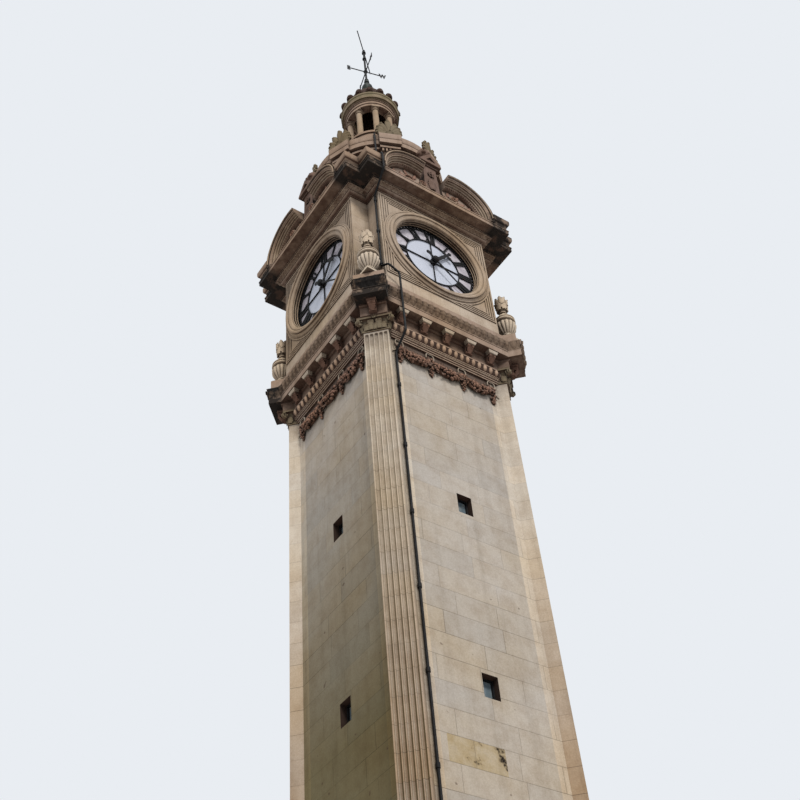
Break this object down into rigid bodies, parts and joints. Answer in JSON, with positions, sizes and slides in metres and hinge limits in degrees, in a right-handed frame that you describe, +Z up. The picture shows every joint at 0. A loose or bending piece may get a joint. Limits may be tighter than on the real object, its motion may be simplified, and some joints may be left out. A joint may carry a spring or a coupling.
{
  "type": "clock tower",
  "caption": "Tall square stone clock tower with diagonal fluted pilasters, a dial on every side, broken pediments, an open columned lantern and a wind vane.",
  "frame": {"origin": "centre of the flat foot, at ground level", "axes": "+Z up, -Y out of the front face, +X out of the right-hand face seen from the front"},
  "size_m": [3.742, 3.742, 26.065],
  "materials": {
    "warm_stone": "weathered",
    "opal_glass": "matt opal",
    "window_glass": "dirty",
    "black_iron": "painted",
    "dark_metal": "weathered",
    "painted_boards": "painted"
  },
  "bodies": {
    "tower": {"base_step": "warm_stone", "plinth_front_wall": "warm_stone", "plinth_back_wall": "warm_stone", "plinth_left_wall": "warm_stone", "plinth_right_wall": "warm_stone", "plinth_corners": "warm_stone", "plinth_cap": "warm_stone", "shaft_front_wall": "warm_stone", "shaft_back_wall": "warm_stone", "shaft_left_wall": "warm_stone", "shaft_right_wall": "warm_stone", "corner_pilasters": "warm_stone", "main_entablature": "warm_stone", "cornice_brackets": "warm_stone", "clock_front_wall": "warm_stone", "clock_back_wall": "warm_stone", "clock_left_wall": "warm_stone", "clock_right_wall": "warm_stone", "clock_corner_posts": "warm_stone", "dial_surrounds": "warm_stone", "top_cornice": "warm_stone", "pediments": "warm_stone", "pediment_pedestals": "warm_stone", "attic_drum": "warm_stone", "attic_cornice": "warm_stone", "carved_blocks": "warm_stone", "lantern_base": "warm_stone", "lantern_columns": "warm_stone", "lantern_ring": "warm_stone", "rim_knobs": "warm_stone", "dome": "warm_stone", "corner_urns": "warm_stone", "door_surround": "warm_stone", "pilaster_capitals": "warm_stone", "festoons": "warm_stone", "dial_spandrels": "warm_stone", "door": "painted_boards", "dial_glasses": "opal_glass", "dial_frames": "black_iron", "finial": "dark_metal", "compass_rod": "black_iron", "shaft_windows": "window_glass", "window_frames": "black_iron", "conductor_pipe": "black_iron"},
    "wind_vane": {"wind_vane": "black_iron"},
    "minute_hand_front": {"minute_hand_front": "black_iron"},
    "hour_hand_front": {"hour_hand_front": "black_iron"},
    "minute_hand_right": {"minute_hand_right": "black_iron"},
    "hour_hand_right": {"hour_hand_right": "black_iron"},
    "minute_hand_back": {"minute_hand_back": "black_iron"},
    "hour_hand_back": {"hour_hand_back": "black_iron"},
    "minute_hand_left": {"minute_hand_left": "black_iron"},
    "hour_hand_left": {"hour_hand_left": "black_iron"}
  },
  "joints": [
    {"name": "vane_turn", "type": "hinge", "parent": "tower", "child": "wind_vane", "pos_m": [0, 0, 25.99], "axis": [0, 0, 1], "continuous": true},
    {"name": "minute_turn_front", "type": "hinge", "parent": "tower", "child": "minute_hand_front", "pos_m": [0, -1.26, 16.805], "axis": [0, 1, 0], "continuous": true},
    {"name": "hour_turn_front", "type": "hinge", "parent": "tower", "child": "hour_hand_front", "pos_m": [0, -1.26, 16.805], "axis": [0, 1, 0], "continuous": true},
    {"name": "minute_turn_right", "type": "hinge", "parent": "tower", "child": "minute_hand_right", "pos_m": [1.26, 0, 16.805], "axis": [-1, 0, 0], "continuous": true},
    {"name": "hour_turn_right", "type": "hinge", "parent": "tower", "child": "hour_hand_right", "pos_m": [1.26, 0, 16.805], "axis": [-1, 0, 0], "continuous": true},
    {"name": "minute_turn_back", "type": "hinge", "parent": "tower", "child": "minute_hand_back", "pos_m": [0, 1.26, 16.805], "axis": [0, -1, 0], "continuous": true},
    {"name": "hour_turn_back", "type": "hinge", "parent": "tower", "child": "hour_hand_back", "pos_m": [0, 1.26, 16.805], "axis": [0, -1, 0], "continuous": true},
    {"name": "minute_turn_left", "type": "hinge", "parent": "tower", "child": "minute_hand_left", "pos_m": [-1.26, 0, 16.805], "axis": [1, 0, 0], "continuous": true},
    {"name": "hour_turn_left", "type": "hinge", "parent": "tower", "child": "hour_hand_left", "pos_m": [-1.26, 0, 16.805], "axis": [1, 0, 0], "continuous": true}
  ],
  "couplings": [
    {"joint": "hour_turn_front", "follows": "minute_turn_front", "ratio": 0.083333},
    {"joint": "minute_turn_right", "follows": "minute_turn_front", "ratio": 1},
    {"joint": "hour_turn_right", "follows": "minute_turn_front", "ratio": 0.083333},
    {"joint": "minute_turn_back", "follows": "minute_turn_front", "ratio": 1},
    {"joint": "hour_turn_back", "follows": "minute_turn_front", "ratio": 0.083333},
    {"joint": "minute_turn_left", "follows": "minute_turn_front", "ratio": 1},
    {"joint": "hour_turn_left", "follows": "minute_turn_front", "ratio": 0.083333}
  ]
}
